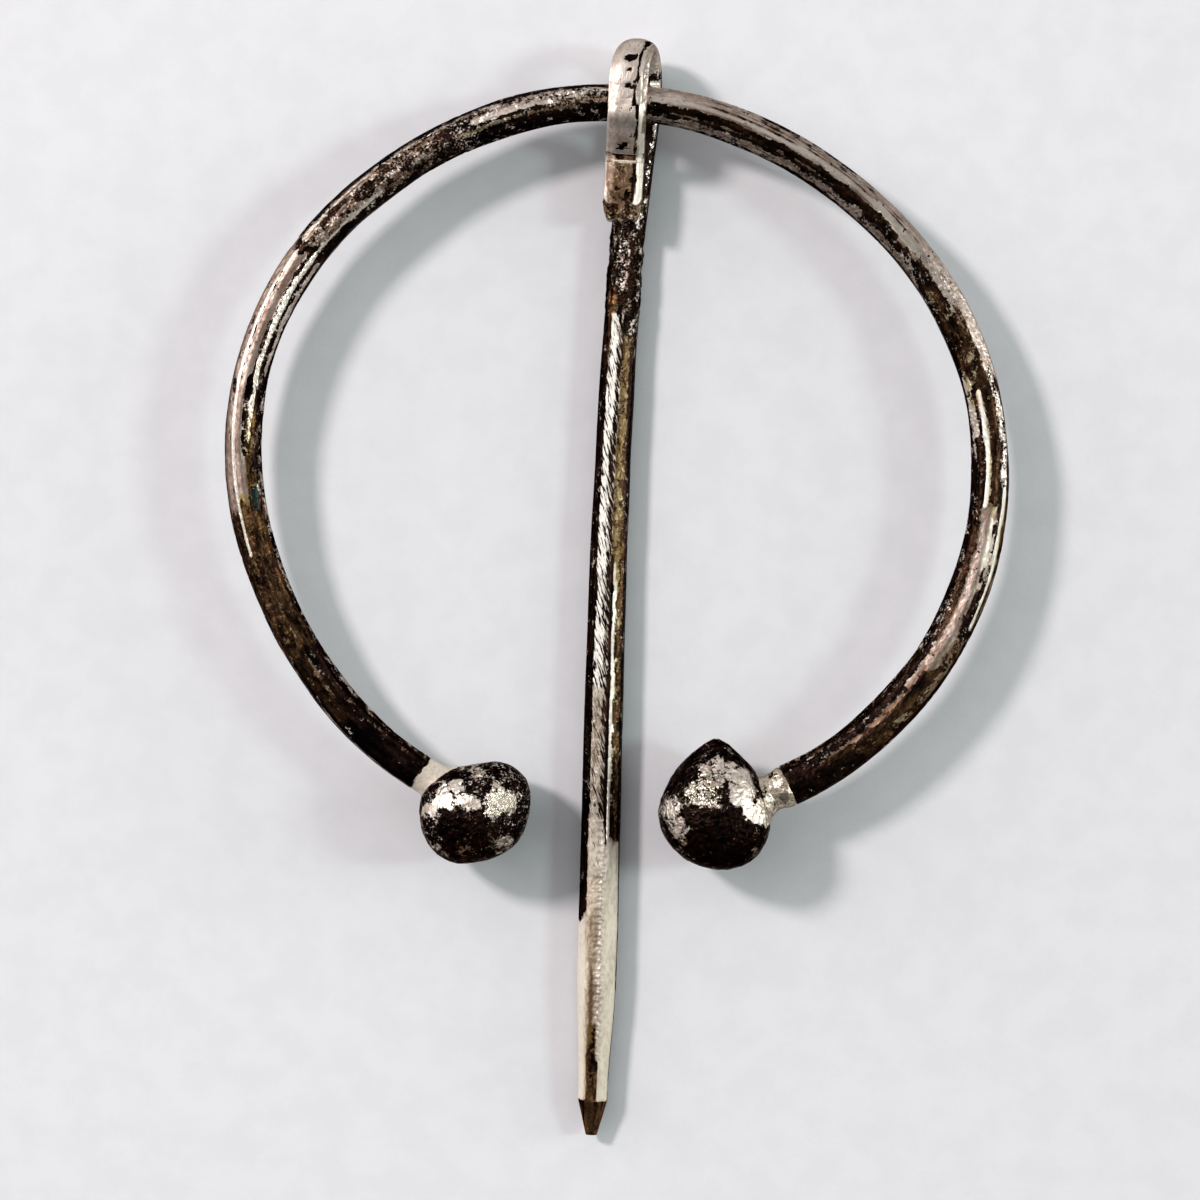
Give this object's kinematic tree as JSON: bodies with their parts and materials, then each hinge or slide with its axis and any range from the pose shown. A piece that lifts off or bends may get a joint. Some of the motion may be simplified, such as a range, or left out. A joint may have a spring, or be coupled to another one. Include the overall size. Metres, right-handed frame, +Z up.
{
  "type": "fibula brooch",
  "caption": "Open ring brooch of hammered silvered rod with two ball terminals and a long loose pin bent round the ring.",
  "frame": {"origin": "on the ground under the middle of the whole brooch, which lies on its back", "axes": "+Z up, out of the brooch's front; +Y along the pin, from its point towards its eye; +X to the right seen from the front"},
  "size_m": [0.0654, 0.092, 0.0094],
  "materials": {
    "tarnished_silver": "silver plate over brass, hammered, with brown and black tarnish",
    "worn_silver": "silver plate over brass, dented, worn bright in patches between black tarnish, with pale solder at the necks",
    "filed_silver": "silver plate over brass, filed and hammered, tarnished dark above and worn pale towards the point"
  },
  "bodies": {
    "ring": {"hoop": "tarnished_silver", "terminal_left": "worn_silver", "terminal_right": "worn_silver"},
    "pin": {"pin": "filed_silver"}
  },
  "joints": [
    {"name": "pin_swing", "type": "hinge", "parent": "ring", "child": "pin", "pos_m": [0.00046, 0.0405, 0.00455], "axis": [-1, 0, 0], "continuous": true}
  ]
}
